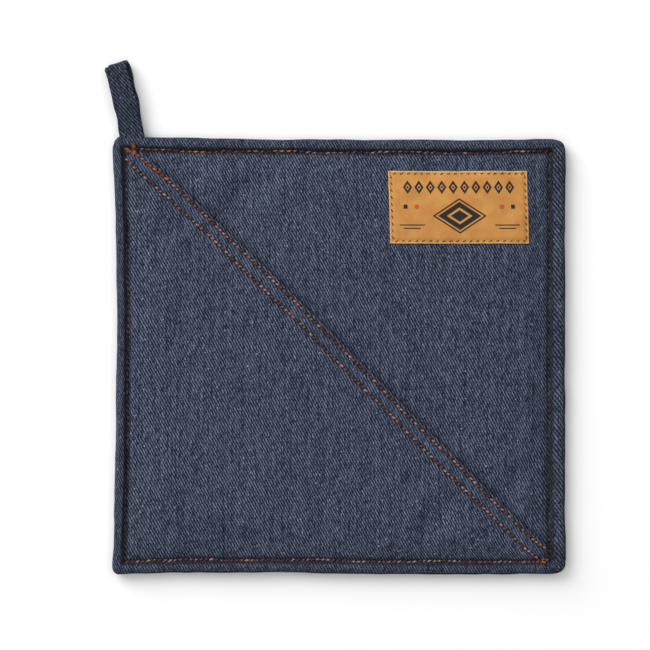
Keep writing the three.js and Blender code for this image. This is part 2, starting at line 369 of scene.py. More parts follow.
def seam_bow(place):
    """The diagonal seam was sewn a little off the corners' straight line, towards the lower left."""
    along = place @ seam_along
    start = 0.55 * ease(along, -135, -90) - 0.8 * (1 - ease(along, -145, -120))
    bow = start - 2.6 * ease(along, -50, 100) + 0.9 * ease(along, 120, 145)
    share = dip(place @ seam_across, 45) * ease(inset_of(place), -2, 9)
    return np.outer(bow * share, seam_across)


class Swell:
    """The rise of the padded field over its plain form, from the cloth simulation."""
    step = None
    rise = None

    @classmethod
    def at(cls, place):
        """The rise over the field, fading out towards the edge topstitching."""
        if cls.rise is None:
            return np.zeros(len(place))
        steps = (np.clip(place, -stitch_half, stitch_half) + stitch_half) / cls.step
        return ease(inset_of(place), 0, 12) * sample_lattice(cls.rise, steps[:, 0], steps[:, 1])


def field_height(place):
    """Height above the middle plane inside the edge topstitching, without seams or stitches."""
    inset = np.maximum(stitch_half - np.abs(place), 0)
    swell = np.prod(1 - np.exp(-inset / shoulder_run), axis=1)
    return crease_rise + (field_rise - crease_rise) * swell


def past_stitching(cloth):
    """How far cloth reaches past the edge topstitching along X and Y, and its rounded run outward."""
    beyond = np.maximum(np.abs(cloth) - stitch_half, 0)
    left_corner = np.where(cloth[:, 1] > 0, loop_corner, lower_left_corner)
    roundness = np.where(cloth[:, 0] < 0, left_corner, plain_corner)
    return beyond, np.sum(beyond ** roundness[:, None], axis=1) ** (1 / roundness)


def lay_cloth(cloth):
    """Where the flat cloth lies: place in the plane, height, outward direction and run past the crease."""
    beyond, run = past_stitching(cloth)
    outward = np.sign(cloth) * beyond / np.maximum(run, 1e-9)[:, None]
    offset = np.interp(run, rim_run, rim_points[:, 0])
    inside = np.clip(cloth, -stitch_half, stitch_half)
    height = np.where(run > 0, np.interp(run, rim_run, rim_points[:, 1]), field_height(inside))
    slope = np.column_stack([np.interp(run, rim_run, rim_slope[:, k]) for k in (0, 1)])
    slope[run == 0] = (1, 0)
    direction = np.column_stack([-slope[:, 1:] * outward, slope[:, :1]])
    return inside + outward * offset[:, None], height + Swell.at(cloth), direction, run


def crumple(cloth, run):
    """Small lumps and puckers of the sewn cloth, along its outward direction."""
    on_rim = ease(run, 0, 2)
    lumps = on_rim * (bumps(cloth, 0.3, 9, 31) + bumps(cloth, 0.14, 4, 32))
    field = (1 - on_rim) * bumps(cloth, 0.2, 17, 33) + bumps(cloth, 0.07, 6, 34)
    puckers = dip(inset_of(cloth), 4.5) * bumps(cloth, 0.16, 2.2, 35)
    return lumps + field + puckers


def seam_fade(cloth):
    """1 over the field, falling to 0 where the diagonal seam is caught in the edge crease."""
    return ease(inset_of(cloth), 0.3, 4.5)


def lower_lap(cloth):
    """Height of the lower panel's face over the seam's inner plies."""
    across = cloth @ seam_across
    raised = lap_rise * ease(across, ridge_across - 0.5, ridge_across + 0.8)
    puff = 0.45 * dip(across, 1.7) + 0.15 * dip(across - 4.3, 0.6)
    ripple = bumps(cloth, 0.1, 1.9, 41) * dip(across, 4.5)
    return (raised + puff + ripple) * seam_fade(cloth)


def upper_lap(cloth):
    """Height of the upper panel's face, which goes down under the lower panel's folded edge."""
    across = cloth @ seam_across
    fade = seam_fade(cloth)
    under = 1 - ease(across, fold_across - 0.1, fold_across + 1.1)
    return -under * (0.75 - 0.2 * fade) - 0.35 * fade * dip(across - fold_across, 2.5)


def fold_radius(cloth):
    return caught_fold_radius + (open_fold_radius - caught_fold_radius) * seam_fade(cloth)


def fold_back(cloth):
    """Turns the lower panel's cloth under at its folded edge: its new place, and the depth under it."""
    across = cloth @ seam_across
    radius = fold_radius(cloth)
    start = fold_across - radius
    past = np.maximum(across - start, 0)
    angle = np.minimum(past / radius, math.pi)
    back = np.maximum(past - math.pi * radius, 0)
    moved = np.where(past > 0, start + radius * np.sin(angle) - back - across, 0)
    return cloth + np.outer(moved, seam_across), radius * (1 - np.cos(angle))


def assemble(place, height, direction, lift, side):
    """Points lifted off a laid cloth, above the middle plane on side 1 and below it on side -1."""
    moved = place + direction[:, :2] * lift[:, None]
    return np.column_stack([warp_plane(moved), middle_z + side * (height + direction[:, 2] * lift)])


def front_point(cloth, panel):
    """The front's outer face in space, for points of the flat cloth of its upper or lower panel."""
    if panel == "lower":
        cloth, depth = fold_back(cloth)
        lap = lower_lap(cloth) - depth
        in_sight = 1
    else:
        lap = upper_lap(cloth)
        in_sight = ease(cloth @ seam_across, fold_across - 1, fold_across)
    place, height, direction, run = lay_cloth(cloth)
    sink = all_sink(edge_rows.values(), place) + patch_press(place)
    sink += in_sight * seam_fade(cloth) * all_sink(seam_rows.values(), place)
    return assemble(place, height, direction, lap + crumple(cloth, run) - sink, 1)


def back_point(cloth):
    """The back's outer face in space. Its field rests flat on the table."""
    place, height, direction, run = lay_cloth(cloth)
    height = np.where(run == 0, field_height(cloth), height)
    crumple_shift = 0.5  # the back was crumpled together with the front, a little off it
    lift = crumple(cloth + crumple_shift, run) - all_sink(edge_rows.values(), place)
    point = assemble(place, height, direction, lift, -1)
    point[:, 2] = np.maximum(point[:, 2], 0.02)
    return point


# ---- meshes ----

def new_mesh(name, points, faces):
    mesh = bpy.data.meshes.new(name)
    mesh.from_pydata(np.asarray(points).tolist(), [], faces)
    return mesh


def make_piece(name, points, faces, uv=None, material=None):
    """A smooth mesh object from points in millimetres. uv holds one pair in millimetres for each point."""
    mesh = new_mesh(name, np.asarray(points) * MM, faces)
    if uv is not None:
        layer = mesh.uv_layers.new(name="cloth")
        corners = np.empty(len(mesh.loops), int)
        mesh.loops.foreach_get("vertex_index", corners)
        layer.data.foreach_set("uv", (np.asarray(uv)[corners] * MM).astype(np.float32).ravel())
    mesh.shade_smooth()
    piece = bpy.data.objects.new(name, mesh)
    bpy.context.scene.collection.objects.link(piece)
    if material is not None:
        mesh.materials.append(material)
    return piece


def grid_of(lines_x, lines_y):
    """Points where two sets of lines cross, and the four-sided faces between them."""
    points = np.stack(np.meshgrid(lines_x, lines_y, indexing="ij"), axis=-1).reshape(-1, 2)
    index = np.arange(len(points)).reshape(len(lines_x), len(lines_y))
    quads = np.stack([index[:-1, :-1], index[1:, :-1], index[1:, 1:], index[:-1, 1:]], axis=-1)
    return points, quads.reshape(-1, 4).tolist()


def tube_faces(index):
    """Faces of a tube from the numbers of its points, ring by ring, with a face over each end."""
    following = np.roll(index, -1, axis=1)
    around = np.stack([index[:-1], following[:-1], following[1:], index[1:]], axis=-1)
    return [*around.reshape(-1, 4).tolist(), index[0][::-1].tolist(), index[-1].tolist()]


def close_layers(upper, lower, faces, uv):
    """Closes two layers of points that share their faces into one body, with walls round their edges."""
    count = len(upper)
    edges = {edge for face in faces for edge in zip(face, face[1:] + face[:1])}
    walls = [[b, a, a + count, b + count] for a, b in sorted(edges) if (b, a) not in edges]
    below = [[i + count for i in reversed(face)] for face in faces]
    return np.vstack([upper, lower]), faces + below + walls, np.vstack([uv, uv])


def thicken(points, faces, uv, thickness):
    """Gives an open surface a thickness on its inner side."""
    mesh = new_mesh("normals", points, faces)
    normals = np.array([v.normal for v in mesh.vertices])
    bpy.data.meshes.remove(mesh)
    inner = points - normals * np.broadcast_to(thickness, len(points))[:, None]
    return close_layers(points, inner, faces, uv)


def cloth_lines(half):
    """Lines across the flat cloth from edge to edge, close together at the rim and the crease."""
    rim = np.linspace(0, rim_cloth, 17)[1:]
    spacing = np.minimum(0.5 + 0.08 * np.arange(400), 1.45)
    inset = np.cumsum(spacing)
    inset = inset[inset < half]
    inset *= half / inset[-1]
    positive = np.concatenate([half - inset[::-1], [half], half + rim])
    return np.concatenate([-positive[:0:-1], positive])


def cloth_grid():
    """The flat cloth, its corners rounded to follow the rim's outline."""
    grid, quads = grid_of(*map(cloth_lines, stitch_half))
    beyond, run = past_stitching(grid)
    scale = np.max(beyond, axis=1) / np.maximum(run, 1e-9)
    scale[run == 0] = 1
    return np.sign(grid) * (np.minimum(np.abs(grid), stitch_half) + beyond * scale[:, None]), quads


def cut_cloth(low, high, lines):
    """The flat cloth between two distances across the diagonal seam, with extra lines along the seam."""
    cloth, faces = cloth_grid()
    across = cloth @ seam_across
    margin = 3
    wanted = [f for f in faces if low - margin < across[f].mean() < high + margin]
    mesh = new_mesh("cloth", np.column_stack([cloth, np.zeros(len(cloth))]), wanted)
    work = bmesh.new()
    work.from_mesh(mesh)
    bpy.data.meshes.remove(mesh)

    def cut(distance, **cleared):
        bmesh.ops.bisect_plane(
            work, geom=work.verts[:] + work.edges[:] + work.faces[:], dist=0.06, use_snap_center=True,
            plane_co=(*(seam_across * distance), 0), plane_no=(*seam_across, 0), **cleared)

    for distance in lines:
        cut(distance)
    cut(low, clear_inner=True)
    cut(high, clear_outer=True)
    loose = [v for v in work.verts if not v.link_faces]
    bmesh.ops.delete(work, geom=loose, context="VERTS")
    work.verts.index_update()
    points = np.array([v.co for v in work.verts])[:, :2]
    faces = [[v.index for v in f.verts] for f in work.faces]
    work.free()
    return points, faces


# ---- the cloth simulation that swells the padded field ----

def make_cloth(piece):
    """Lets a closed piece swell under pressure, held at its vertex group named pins."""
    settings = piece.modifiers.new("cloth", "CLOTH").settings
    settings.vertex_group_mass = "pins"
    settings.quality = 6
    settings.mass = 0.3
    settings.tension_stiffness = 30
    settings.compression_stiffness = 30
    settings.shear_stiffness = 12
    settings.bending_stiffness = 4
    settings.shrink_min = -0.012
    settings.use_pressure = True
    settings.uniform_pressure_force = swell_pressure
    settings.effector_weights.gravity = 0


def simulate_swell():
    """Blows up a closed pillow pinned along the edge topstitching, and keeps how far its front rises."""
    cells = 54
    place, quads = grid_of(*(np.linspace(-half, half, cells + 1) for half in stitch_half))
    height = field_height(place)
    count = len(place)
    border = inset_of(place) < 1e-6
    height[border] = crease_rise
    lower = np.where(border, np.arange(count), np.arange(count) + count)
    points = np.vstack([np.column_stack([place, height]), np.column_stack([place, -height])])
    pillow = make_piece("swell", points, quads + [[int(lower[i]) for i in reversed(q)] for q in quads])
    sewn = np.abs(np.abs(place @ seam_across) - seam_row_offset) < seam_row_offset / 2
    pins = pillow.vertex_groups.new(name="pins")
    for held, weight in ((border, 1.0), (sewn & ~border, 0.35)):
        pins.add(np.flatnonzero(held).tolist(), weight, "REPLACE")
    make_cloth(pillow)
    for number in range(1, swell_frames + 1):
        bpy.context.scene.frame_set(number)
    settled = pillow.evaluated_get(bpy.context.evaluated_depsgraph_get()).to_mesh()
    found = np.array([v.co for v in settled.vertices])[:count, 2] / MM
    pillow.to_mesh_clear()
    bpy.context.scene.frame_set(1)
    bpy.data.objects.remove(pillow)
    rise = swell_limit * np.tanh((found - height) / swell_limit)
    rise[border] = 0
    Swell.rise = rise.reshape(cells + 1, cells + 1)
    Swell.step = 2 * stitch_half / cells


# ---- shader arithmetic ----

def connect(value, target):
    if isinstance(value, Shade):
        value.tree.links.new(value.socket, target)
    else:
        target.default_value = value


def math_method(operation):
    return lambda shade, *others: shade.math(operation, *others)


class Shade:
    """A number in a material's node tree, so that a pattern can be written as plain arithmetic."""

    def __init__(self, tree, socket):
        self.tree = tree
        self.socket = socket

    def math(self, operation, *others):
        node = self.tree.nodes.new("ShaderNodeMath")
        node.operation = operation
        for slot, value in enumerate((self, *others)):
            connect(value, node.inputs[slot])
        return Shade(self.tree, node.outputs[0])

    __add__ = math_method("ADD")
    __sub__ = math_method("SUBTRACT")
    __mul__ = math_method("MULTIPLY")
    __truediv__ = math_method("DIVIDE")
    floor = math_method("FLOOR")
    fraction = math_method("FRACT")
    absolute = math_method("ABSOLUTE")
    power = math_method("POWER")
    least = math_method("MINIMUM")
    most = math_method("MAXIMUM")

    def __rsub__(self, other):
        return self * -1 + other

    def step(self, low, high):
        """Goes smoothly from 0 at low to 1 at high."""
        node = self.tree.nodes.new("ShaderNodeMapRange")
        node.interpolation_type = "SMOOTHSTEP"
        connect(self, node.inputs["Value"])
        node.inputs["From Min"].default_value = low
        node.inputs["From Max"].default_value = high
        return Shade(self.tree, node.outputs["Result"])


def join(x, y, z=0.0):
    node = x.tree.nodes.new("ShaderNodeCombineXYZ")
    for slot, value in enumerate((x, y, z)):
        connect(value, node.inputs[slot])
    return Shade(x.tree, node.outputs[0])


def noise(x, y, detail=2.0):
    """Soft noise from 0 to 1, whose patches are about as wide as a change of 1 in x or y."""
    node = x.tree.nodes.new("ShaderNodeTexNoise")
    connect(join(x, y), node.inputs["Vector"])
    node.inputs["Scale"].default_value = 1.0
    node.inputs["Detail"].default_value = detail
    return Shade(x.tree, node.outputs["Fac"])


def chance(x, y, z=0.0):
    """A random number from 0 to 1 that belongs to these exact coordinates."""
    node = x.tree.nodes.new("ShaderNodeTexWhiteNoise")
    node.noise_dimensions = "3D"
    connect(join(x, y, z), node.inputs["Vector"])
    return Shade(x.tree, node.outputs["Value"])


def blend(share, first, second):
    """Goes from the first colour to the second as share goes from 0 to 1."""
    node = share.tree.nodes.new("ShaderNodeMix")
    node.data_type = "RGBA"
    for slot, value in ((0, share), (6, first), (7, second)):
        connect(value, node.inputs[slot])
    return Shade(share.tree, node.outputs[2])


def srgb(red, green, blue):
    """A colour given in the usual 0 to 255 steps, as the linear values that shaders take."""
    def linear(value):
        share = value / 255
        return share / 12.92 if share <= 0.04045 else ((share + 0.055) / 1.055) ** 2.4
    return (linear(red), linear(green), linear(blue), 1.0)


def new_material(name, roughness, sheen=0.0, specular=0.3):
    material = bpy.data.materials.new(name)
    material.use_nodes = True
    shader = material.node_tree.nodes["Principled BSDF"]
    shader.inputs["Roughness"].default_value = roughness
    shader.inputs["Sheen Weight"].default_value = sheen
    shader.inputs["Specular IOR Level"].default_value = specular
    return material, shader


def cloth_place(material):
    """The cloth coordinates of each place on a piece, in millimetres."""
    tree = material.node_tree
    source = tree.nodes.new("ShaderNodeUVMap")
    source.uv_map = "cloth"
    split = tree.nodes.new("ShaderNodeSeparateXYZ")
    tree.links.new(source.outputs[0], split.inputs[0])
    return Shade(tree, split.outputs[0]) / MM, Shade(tree, split.outputs[1]) / MM


def set_surface(shader, colour, height, relief, strength):
    """Gives the shader its colour, and bumps of the given relief in millimetres."""
    connect(colour, shader.inputs["Base Color"])
    bump = colour.tree.nodes.new("ShaderNodeBump")
    bump.inputs["Distance"].default_value = relief * MM
    bump.inputs["Strength"].default_value = strength
    connect(height, bump.inputs["Height"])
    colour.tree.links.new(bump.outputs["Normal"], shader.inputs["Normal"])


# ---- materials ----

def denim(name, dark, pale, shade, speck, edged=False, seamed=False):
    """Left-hand three-to-one twill: indigo warp floats, palest at their worn crowns and with painted shade on
    their sides, and the weft in painted shade between them.
    """
    material, shader = new_material(name, 0.9, sheen=0.03, specular=0.12)
    x, y = cloth_place(material)
    x = x + (noise(x * 0.12, y * 0.12, 1.0) - 0.5) * 0.25
    end = (x / warp_pitch).floor()
    across = (x / warp_pitch).fraction()
    run = (y / weft_pitch + end) / twill_span
    pick = run.floor()
    along = run.fraction()
    weft_share = 1 / twill_span
    on_warp = along.step(weft_share * 0.6, weft_share * 1.4) * (1 - along).step(0.0, weft_share * 0.5)
    crown = 1 - ((along - weft_share) / (1 - weft_share) * 2 - 1).absolute().power(2.0)
    round_yarn = (across * 2 - 1).absolute().power(2.0) * -0.7 + 1
    fibre = noise(x * 6, y * 3)
    # the floats are palest at their crowns and down their middles: partly the wear of their crowns, partly
    # painted shade on the yarns' rounded sides and where they dive under the weft
    tone = crown * round_yarn * 0.62 + (fibre - 0.5) * 0.9
    tone = tone + (chance(end, pick) - 0.5) * 0.4 + (chance(end, (y / weft_pitch).floor(), 2.0) - 0.5) * 0.5
    tone = tone + (chance(end, 7.0) - 0.5) * 0.14 + (noise(x * 1.5, y * 0.03, 3.0) - 0.5) * 0.8
    tone = tone + (noise(x * 1.3, y * 0.3) - 0.5) * 0.12 + (noise(x * 0.06, y * 0.04, 3.0) - 0.5) * 0.2
    colour = blend(on_warp, shade, blend(tone.step(-0.1, 1.05), dark, pale))
    fleck = chance((x / fleck_width).floor(), (y / fleck_length).floor(), 3.0)
    fleck = fleck.step(1 - fleck_share, 1 - fleck_share * 0.5)
    colour = blend(fleck * fibre * 1.1, colour, speck)
    if seamed:
        colour = blend(seam_blue(x, y), colour, srgb(44, 84, 124))
        # painted shade along the seam's rows and past its folded edge
        colour = blend(seam_shade(x, y), colour, srgb(26, 12, 12))
    if edged:
        # painted shade in the edge crease and on the right and bottom edges, and a somewhat darker rim
        colour = blend(edge_shade(x, y), colour, srgb(16, 10, 12))
    set_surface(shader, colour, on_warp * crown * 0.55 + round_yarn * 0.35 + fibre * 0.25, 0.2, 0.9)
    return material


def shade_beyond(x, y):
    """How far past the edge topstitching each place is, below 0 inside it."""
    return (x.absolute() - stitch_half[0]).most(y.absolute() - stitch_half[1])


def shade_across(x, y):
    """How far across the diagonal seam each place is."""
    return x * seam_across[0] + y * seam_across[1]


def edge_shade(x, y):
    """How much darker the cloth is drawn: a little on the rolled rim, with painted shade in its crease and
    painted shade along its right and bottom edges, which are turned away from the light.
    """
    beyond = shade_beyond(x, y)
    rim = beyond.step(-1.5, 0.5) * 0.16
    # painted shade in the crease at the edge topstitching
    crease = (3.1 - (beyond - 0.9).absolute()).step(0, 1.8) * 0.66
    # painted shade on the right and bottom edges, the sides away from the light
    outline = (x - stitch_half[0]).most(y * -1 - stitch_half[1])
    outer = outline.step(rim_cloth - 4.8, rim_cloth - 3.2) * 0.8
    return rim.most(crease).most(outer)


def seam_shade(x, y):
    """Painted shade: how much darker the cloth is drawn in the grooves along the diagonal seam's two rows,
    and past its folded edge, where the fold casts its shadow.
    """
    across = shade_across(x, y)
    # painted shade in the grooves beside each row
    row = (1.3 - (across.absolute() - seam_row_offset).absolute()).step(0, 0.9) * 0.45
    # painted shadow cast by the folded edge onto the upper panel
    past_fold = across.step(fold_across, fold_across + 0.3)
    below_fold = past_fold * (fold_across + 5 - across).step(0, 4.5) * 0.28
    return row.most(below_fold)


def seam_blue(x, y):
    """The puffed band between the seam's rows kept more of its blue, here and there."""
    band = (2.6 - shade_across(x, y).absolute()).step(0, 1.2) * (shade_beyond(x, y) * -1).step(0, 2)
    return band * noise(x * 0.4, y * 0.4, 1.0).step(0.35, 0.7) * 0.14


def thread_material(name, dark, pale):
    """Twisted sewing thread, with a painted highlight on the upper face of each stitch's middle and painted
    shade on its flanks and at its ends, where it dives into its holes. U counts its stitches and V its plies.
    """
    material, shader = new_material(name, 0.6, sheen=0.05)
    x, y = cloth_place(material)
    # painted highlight in the middle of each stitch, painted shade towards its ends
    crest = 1 - (x.fraction() * 2 - 1).absolute()
    ply = (y.fraction() * 2 - 1).absolute()
    round_about = y / thread_plies - x.fraction() * (ply_turn / (2 * math.pi))
    # painted highlight on the stitch's upper face, painted shade on its flanks
    face = (((round_about + 0.25) * 2).fraction() * 2 - 1).absolute()
    fuzz = noise(x * 3, y * 3)
    change = chance(x.floor(), 5.0)
    tone = crest * 0.9 + face * 0.45 + ply * 0.12 + (fuzz - 0.5) * 1.3 + (change - 0.5) * 0.7 - 0.3
    set_surface(shader, blend(tone.step(0.55, 1.45), dark, pale), ply + fuzz * 0.5, 0.08, 0.6)
    return material


def fleece():
    material, shader = new_material("cotton_wadding", 1.0, sheen=0.4, specular=0.05)
    x, y = cloth_place(material)
    fluff = noise(x * 0.8, y * 0.8, 6.0)
    set_surface(shader, blend(fluff, srgb(214, 208, 194), srgb(240, 238, 230)), fluff, 0.8, 0.8)
    return material


def leather_board():
    """Tan leather board with a worn edge and a plain geometric print: rules, squares, lozenges and dots."""
    material, shader = new_material("leather_board", 0.62)
    x, y = cloth_place(material)
    grain = noise(x * 1.5, y * 1.5, 5.0)
    speckle = noise(x * 6, y * 6)
    tone = (noise(x * 0.11, y * 0.14, 3.0) * 0.9 + grain * 0.5 + speckle * 0.35 - 0.4).step(0.1, 0.9)
    colour = blend(tone, srgb(176, 114, 50), srgb(202, 147, 76))
    edge = (patch_half[0] - x.absolute()).least(patch_half[1] - y.absolute())
    worn = (edge * -1 + grain * 0.9).step(-0.35, 0.25)
    colour = blend(worn * 0.5, colour, srgb(222, 180, 128))
    ink_wear = speckle.step(0.22, 0.42) * 0.2 + 0.8
    colour = blend(printed_pattern(x, y) * ink_wear, colour, srgb(24, 20, 20))
    colour = blend(printed_dots(x, y) * 0.85, colour, srgb(178, 62, 44))
    set_surface(shader, colour, grain + speckle * 0.4, 0.06, 0.5)
    return material


def bar(x, y, centre_x, centre_y, half_width, half_height):
    """1 inside an upright rectangle, 0 outside it."""
    soft = 0.08
    inside_x = (half_width - (x - centre_x).absolute()).step(-soft, soft)
    inside_y = (half_height - (y - centre_y).absolute()).step(-soft, soft)
    return inside_x * inside_y


def lozenge(x, y, centre_y, half_width, half_height):
    """How deep inside a lozenge each place is: 1 at its middle and 0 on its outline."""
    return 1 - (x.absolute() / half_width + (y - centre_y).absolute() / half_height)


def printed_pattern(x, y):
    """A band of ten small lozenges, a nested lozenge below it, and rules and squares at both sides."""
    band_pitch = 5.6
    repeat = ((x / band_pitch).fraction() - 0.5) * band_pitch
    small = lozenge(repeat, y, 9.6, 2.3, 3.4)
    rings = (small.step(-0.02, 0.04) - small.step(0.5, 0.56)) + small.step(0.72, 0.78)
    ink = rings * (5 * band_pitch - x.absolute()).step(0, 0.1)
    large = lozenge(x, y, -4.2, 13.5, 8.6)
    for outer, inner in ((0.0, 0.1), (0.2, 0.52), (0.66, 2.0)):
        ink = ink.most(large.step(outer, outer + 0.02) - large.step(inner, inner + 0.02))
    for side in (-1, 1):
        ink = ink.most(bar(x, y, side * 23.5, -8.6, 6.2, 0.28))
        ink = ink.most(bar(x, y, side * 23.5, -10.2, 4.2, 0.28))
        ink = ink.most(bar(x, y, side * 26.5, 0.2, 1.0, 1.0))
    return ink


def printed_dots(x, y):
    """A round dot at each side of the print."""
    reach = ((x.absolute() - 21.0).power(2.0) + (y - 0.2).power(2.0)).power(0.5)
    return (1.15 - reach).step(-0.08, 0.08)


def paper_white():
    material, shader = new_material("studio_floor", 0.9, specular=0.0)
    shader.inputs["Base Color"].default_value = (0.93, 0.93, 0.93, 1.0)
    return material


# ---- panels, back and wadding ----

def front_panel(panel, low, high, lines, material):
    cloth, faces = cut_cloth(low, high, lines)
    points = front_point(cloth, panel)
    thickness = np.full(len(cloth), panel_thickness)
    if panel == "lower":
        near_fold = ease(cloth @ seam_across, fold_across - 1.6, fold_across - 0.8)
        thickness += near_fold * (0.85 * fold_radius(cloth) - thickness)
    thickness = np.clip(points[:, 2] - middle_z - 0.12, 0.1, thickness)
    return make_piece("pad_front_" + panel, *thicken(points, faces, cloth, thickness), material)


def seam_lines():
    """Distances across the seam where the lower panel's face bends."""
    rows = [side * seam_row_offset + step for side in (-1, 1) for step in np.arange(-1.2, 1.3, 0.3)]
    ridge = [ridge_across + step for step in (-0.9, -0.5, 0.9)]
    curl = fold_across - open_fold_radius + open_fold_radius * math.pi * np.linspace(0, 1, 8)
    return [*rows, *ridge, -0.9, 0.0, 0.9, *curl]


def back_panel(material):
    cloth, faces = cloth_grid()
    flipped = [face[::-1] for face in faces]
    return make_piece("pad_back", *thicken(back_point(cloth), flipped, cloth, panel_thickness), material)


def wadding(material):
    """A crowned, closed body of needled cotton that fills the pad inside its panels."""
    clear = panel_thickness + 0.9
    rim_clear = 2.2
    cells = 90
    corner_cut = 0.012
    thinnest = 0.05
    half = pad_half - rim_clear - 0.6
    share = np.linspace(-1, 1, cells + 1)
    square, quads = grid_of(share, share)
    place = square * half * (1 - corner_cut * np.prod(square ** 8, axis=1))[:, None]
    run = -inset_of(place)
    half_width = np.where(run < bead_centre, bead_inner, bead_outer)
    arch = np.sqrt(np.maximum(1 - ((run - bead_centre) / half_width) ** 2, 0))
    on_rim = bead_rise * arch - rim_clear
    top = np.where(run > 0, on_rim, field_height(place) + Swell.at(place) - clear) + bumps(place, 0.08, 3, 51)
    bottom = np.where(run > 0, on_rim, field_height(place) - clear)
    edge = np.max(np.abs(square), axis=1) > 1 - 1e-9
    layers = []
    for side, reach in ((1, top), (-1, bottom)):
        reach = np.where(edge, thinnest, np.maximum(reach, thinnest))
        layers.append(np.column_stack([warp_plane(place), middle_z + side * reach]))
    return make_piece("pad_wadding", *close_layers(*layers, quads, place), material)


# ---- threads ----

def twisted_stitches(paths, sideways, radius, numbers):
    """Closed twisted tubes along many short paths, given as stitches x steps x 3, and their UV, which holds
    each stitch's number in its row."""
    stitches, steps, _ = paths.shape
    side = sideways[:, None, :]
    up = unit(np.cross(side, unit(np.gradient(paths, axis=1))))
    share = np.linspace(0, 1, steps)
    taper = 0.6 + 0.4 * np.sin(math.pi * np.clip(share, 0.02, 0.98)) ** 0.4
    angle = np.arange(stitch_sides) * 2 * math.pi / stitch_sides
    turn = angle + ply_turn * share[:, None]
    lobes = 1 + ply_depth * np.cos(thread_plies * turn)
    reach = radius[:, None, None] * taper[:, None] * lobes
    ring = np.cos(angle)[:, None] * side[:, :, None] + np.sin(angle)[:, None] * up[:, :, None]
    points = paths[:, :, None] + ring * reach[..., None]
    along = numbers[:, None] + 0.02 + 0.96 * share
    round_about = turn * thread_plies / (2 * math.pi)
    uv = np.stack(np.broadcast_arrays(along[:, :, None], round_about), axis=-1)
    index = np.arange(points.size // 3).reshape(stitches, steps, stitch_sides)
    faces = [face for stitch in index for face in tube_faces(stitch)]
    return points.reshape(-1, 3), faces, uv.reshape(-1, 2)


def row_paths(row, face, lift, dive, hidden):
    """The path of each stitch of a row over a face, and its rise: up in the middle and down at its holes.
    hidden is the share of each stitch that lies inside its holes."""
    share = np.linspace(0, 1, stitch_steps)
    first, last = row.holes[:-1], row.holes[1:]
    inset = hidden / 2 * (last - first)
    t = (first + inset)[:, None] + (last - first - 2 * inset)[:, None] * share
    slant = stitch_slant * row.random.uniform(0.4, 1.6, len(first))[:, None] * (2 * share - 1)
    place = row.place(t.ravel(), slant.ravel())
    rise = (lift + dive) * np.sin(math.pi * share) ** 0.4 - dive
    return face(place).reshape(len(first), stitch_steps, 3), rise


def stitch_piece(name, rows, face, side, material, lift, dive=0.35, radius=needle_thread_radius,
                 sunk=(0, 0, 0, 0), hidden=0.0, loose=slice(0)):
    """All the stitches of some rows as one piece. side is 1 above the face and -1 under it, sunk says how
    much deeper each row lies, and the loose stitches are thicker."""
    paths, across, thick, numbers = [], [], [], []
    for row, depth in zip(rows, sunk):
        path, rise = row_paths(row, face, lift, dive, hidden)
        path[..., 2] += side * (rise - depth)
        paths.append(path)
        across.append(np.tile([*row.across, 0], (len(path), 1)))
        thick.append(radius * (1 + 0.12 * row.random.uniform(-1, 1, len(path))))
        thick[-1][loose] *= 1.3
        numbers.append(np.arange(len(path)))
    tubes = twisted_stitches(*map(np.concatenate, (paths, across, thick, numbers)))
    return make_piece(name, *tubes, material)


def paint_stitches(piece, material, first, last):
    """Gives some stitches of a piece, counted from its first, another material."""
    faces_each = (stitch_steps - 1) * stitch_sides + 2
    piece.data.materials.append(material)
    slot = len(piece.data.materials) - 1
    for polygon in piece.data.polygons[first * faces_each:last * faces_each]:
        polygon.material_index = slot


def front_face(place):
    """The front's visible face: the lower panel's up to its folded edge, and the upper panel's past it."""
    past_fold = place @ seam_across > fold_across
    return np.where(past_fold[:, None], front_point(place, "upper"), front_point(place, "lower"))


def under_front(place):
    """Inside the wadding, where the lower threads of the front's seams lie."""
    return np.column_stack([warp_plane(place), patch_rest(place) - bobbin_depth])


def edge_stitches(copper, faded, shaded):
    """The topstitching round the front, in its worn stretches of thread, and with painted shade on the right
    and left rows, which lie deeper in the crease.
    """
    sunk_sides = (0.0, 0.35, 0.05, 0.3)  # top, right, bottom and left
    rows = edge_rows.values()
    piece = stitch_piece("edge_stitches_front", rows, front_face, 1, copper, 0.28, sunk=sunk_sides)
    top, right, bottom, left = (len(row.holes) - 1 for row in rows)
    paint_stitches(piece, faded, round(0.42 * top), top)
    # painted shade: the right and left rows get the darker copy of the thread
    paint_stitches(piece, shaded, top, top + right + bottom + left)
    paint_stitches(piece, faded, top + right, top + right + bottom)
    return piece


def upper_seam_stitches(faded, bright):
    """The diagonal seam's upper row, with a slack stretch of thread near its start."""
    loose = slice(3, 9)
    piece = stitch_piece("seam_stitches_upper", [seam_rows["upper"]], front_face, 1, faded, 0.3, loose=loose)
    paint_stitches(piece, bright, loose.start, loose.stop)
    return piece


def closing_stitches(material):
    """The seam inside the rim, which joined front and back before the pad was turned."""
    rows = ring_rows((pad_half - closing_inset) * corner_signs, edge_pitch_side, 95, 0.05, closing_short)

    def face(place):
        return np.column_stack([warp_plane(place), np.full(len(place), middle_z)])
    return stitch_piece("closing_stitches", rows, face, 1, material, 0.1, 0.1, thread_radius * 0.7)


def outside_place(place):
    """Cloth coordinates of places in the pad's plane, on the rim's inner slope as well as the field."""
    beyond = np.maximum(np.abs(place) - stitch_half, 0)
    rising = rim_points[:, 0] <= edge_inset - 1
    run = np.interp(beyond, rim_points[rising, 0], rim_run[rising])
    return np.sign(place) * (np.minimum(np.abs(place), stitch_half) + run)


